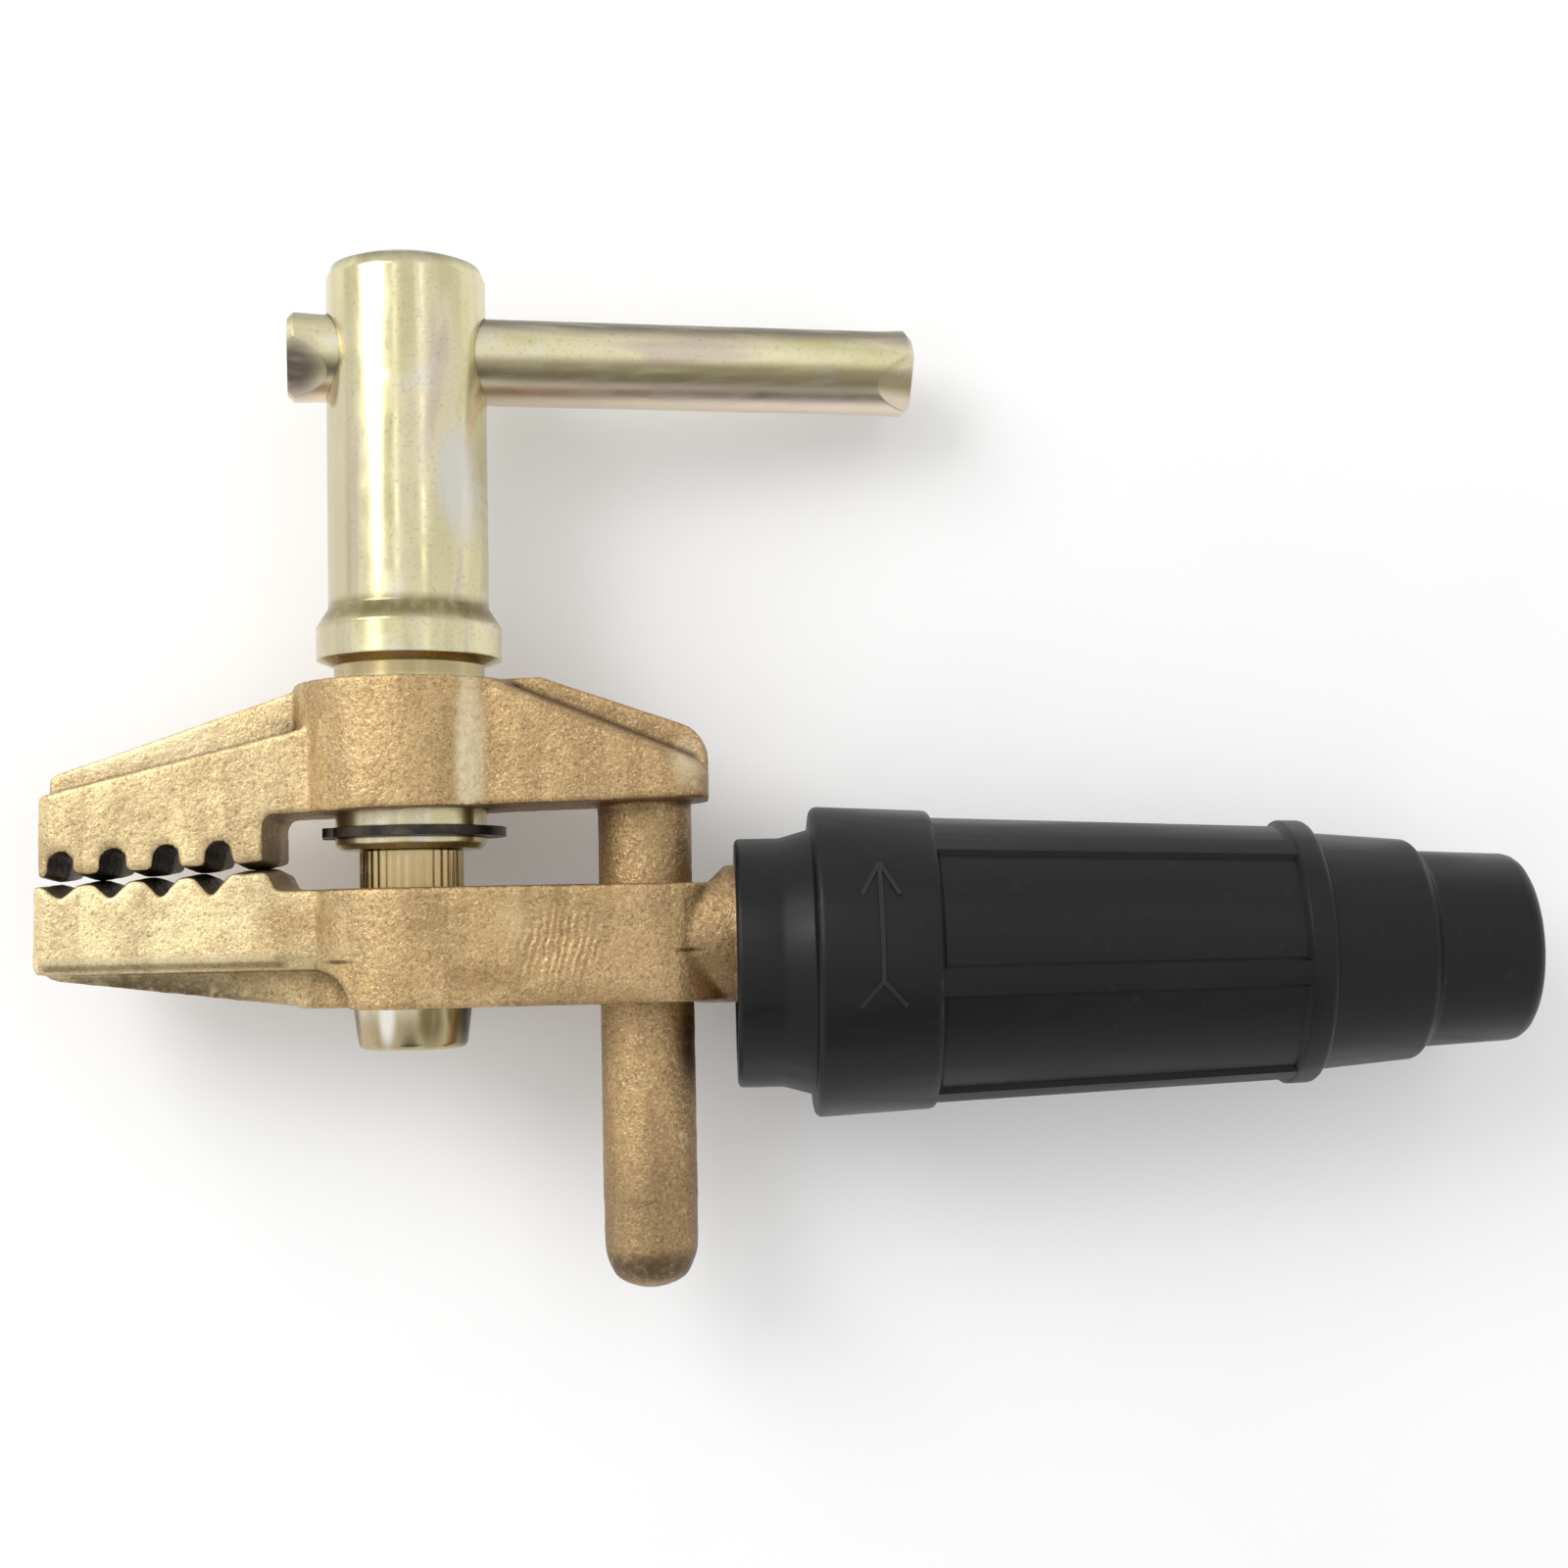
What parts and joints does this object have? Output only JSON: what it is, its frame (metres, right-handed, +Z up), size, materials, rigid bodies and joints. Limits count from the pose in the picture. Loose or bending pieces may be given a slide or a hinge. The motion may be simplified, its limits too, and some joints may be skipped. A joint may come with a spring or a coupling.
{
  "type": "screw-type grounding clamp with cable coupler",
  "caption": "Screw clamp with toothed brass jaws, a long nut turned by a sliding bar, and a twist-lock cable coupler in a rubber sleeve, for the return lead.",
  "frame": {"origin": "middle of the grip, midway along the tooth rows and between the closed jaws", "axes": "+X from the jaws to the cable along the coupler, +Y from the fixed jaw to the handle along the stud, +Z up as the clamp lies on its side"},
  "size_m": [0.1888, 0.1321, 0.0398],
  "materials": {
    "cast_brass": "sand-cast brass with a grainy matt skin, brighter on the edges",
    "turned_brass": "machined brass, satin",
    "plated_steel": "turned steel with yellow zinc plating, satin with patchy tint",
    "spring_steel": "blackened spring steel",
    "dark_steel": "black oxide steel",
    "copper": "thin bare copper sheet",
    "black_rubber": "moulded black rubber, semi-matt"
  },
  "bodies": {
    "fixed_jaw": {"lower_jaw": "cast_brass", "clamp_stud": "plated_steel"},
    "moving_jaw": {"upper_jaw": "cast_brass"},
    "nut": {"handle_nut": "plated_steel", "retaining_ring": "spring_steel"},
    "bar": {"tommy_bar": "plated_steel"},
    "coupler": {"socket_body": "turned_brass", "rubber_sleeve": "black_rubber", "cable_ferrule": "copper", "rear_set_screw": "dark_steel", "front_set_screw": "dark_steel"}
  },
  "joints": [
    {"name": "jaw_slide", "type": "slide", "parent": "fixed_jaw", "child": "moving_jaw", "axis": [0, 1, 0], "range_m": [0, 0.035]},
    {"name": "nut_spin", "type": "hinge", "parent": "moving_jaw", "child": "nut", "pos_m": [0.031, 0.0276, 0], "axis": [0, 1, 0], "range_deg": [0, 7190]},
    {"name": "bar_slide", "type": "slide", "parent": "nut", "child": "bar", "axis": [0.9877, 0, -0.1564], "range_m": [-0.0518, 0.0008]},
    {"name": "coupler_twist", "type": "hinge", "parent": "fixed_jaw", "child": "coupler", "pos_m": [0.0723, -0.01275, 0], "axis": [1, 0, 0], "range_deg": [0, 90]}
  ],
  "couplings": [
    {"joint": "jaw_slide", "follows": "nut_spin", "m_per_rad": 0.00027852}
  ]
}
